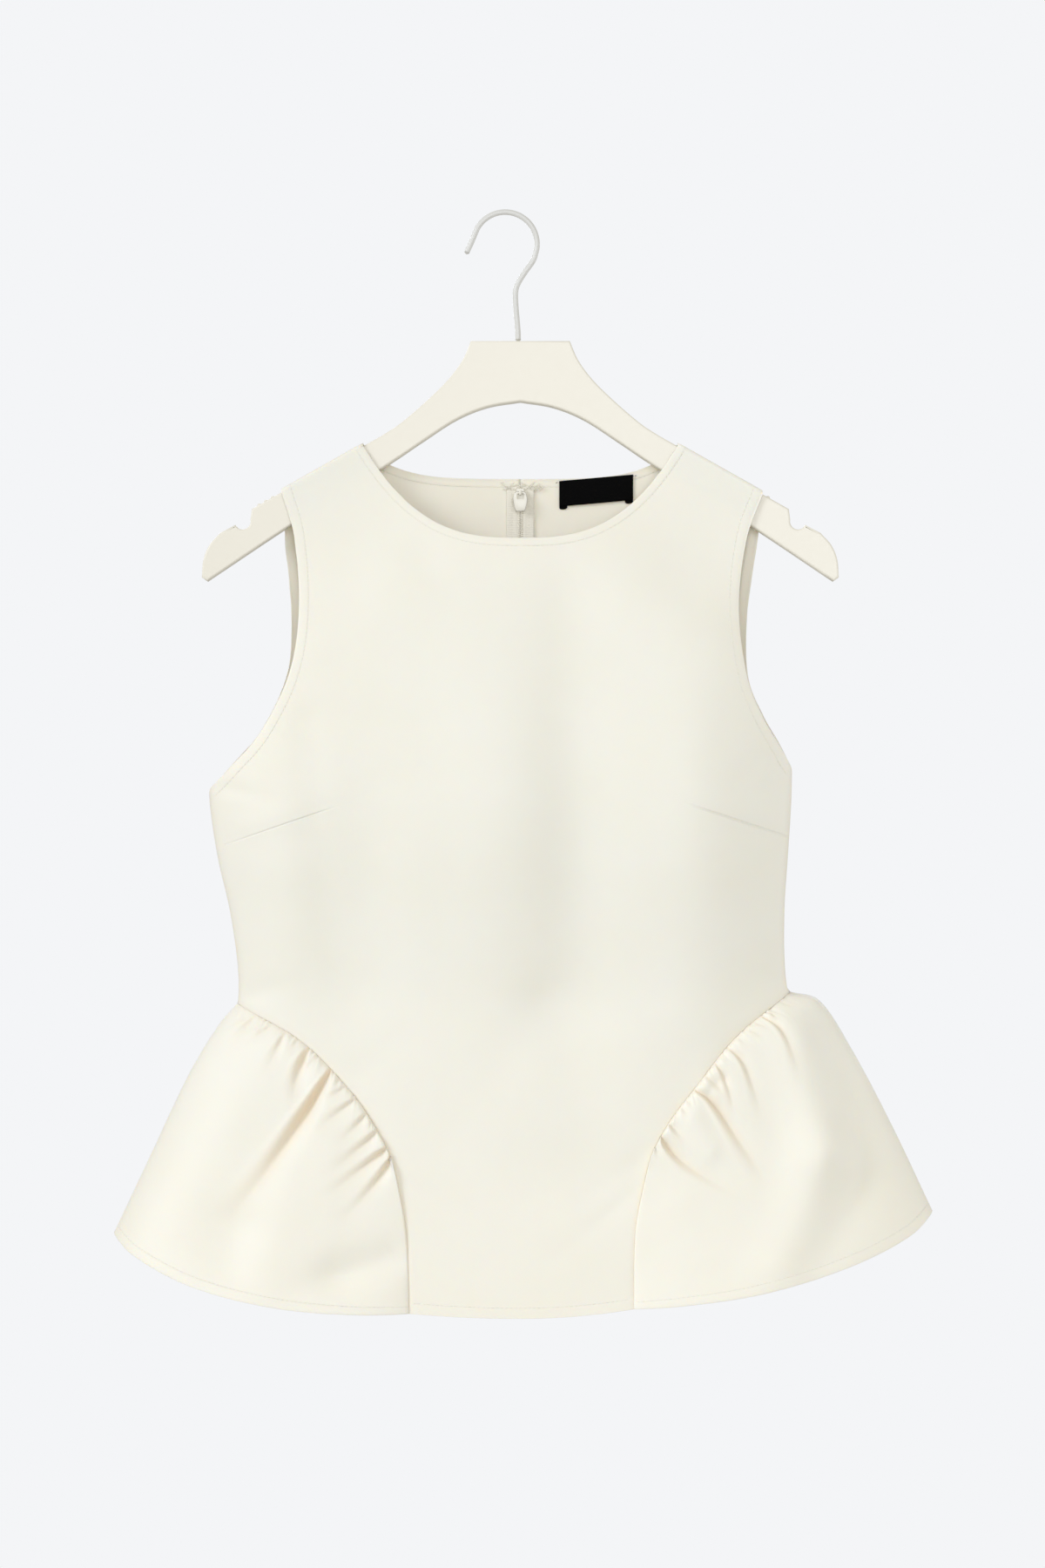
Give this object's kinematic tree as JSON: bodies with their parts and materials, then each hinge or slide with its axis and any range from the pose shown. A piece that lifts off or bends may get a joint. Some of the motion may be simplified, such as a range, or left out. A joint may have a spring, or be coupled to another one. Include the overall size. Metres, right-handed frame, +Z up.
{
  "type": "sleeveless peplum top on a hanger",
  "caption": "Sleeveless satin top with a round neck, bust darts, a back zip and gathered flared side peplums, hung on a flat hanger with a wire hook.",
  "frame": {"origin": "underside of the crown of the hanger's wire hook, where it rests on a rail or a peg", "axes": "+Z up; the front of the top faces -Y; +X is to the viewer's right"},
  "size_m": [0.565, 0.109, 0.7549],
  "materials": {
    "satin": "cream satin",
    "zip_tape": "cream knitted tape",
    "woven_label": "black woven",
    "enamelled_metal": "cream enamel",
    "coated_wire": "off-white coating",
    "lacquered_wood": "beige lacquer"
  },
  "bodies": {
    "top": {"front_panel": "satin", "back_panel_left": "satin", "back_panel_right": "satin", "peplum_front_left": "satin", "peplum_front_right": "satin", "peplum_back_left": "satin", "peplum_back_right": "satin", "zip_tape_left": "zip_tape", "zip_tape_right": "zip_tape", "zip_slider": "enamelled_metal", "neck_label": "woven_label", "hanger": "lacquered_wood", "hanger_hook": "coated_wire"},
    "pull": {"zip_pull": "enamelled_metal"}
  },
  "joints": [
    {"name": "pull_swing", "type": "hinge", "parent": "top", "child": "pull", "pos_m": [0.0105, 0.00579, -0.19103], "axis": [1, 0, 0], "range_deg": [-150, 0]}
  ]
}
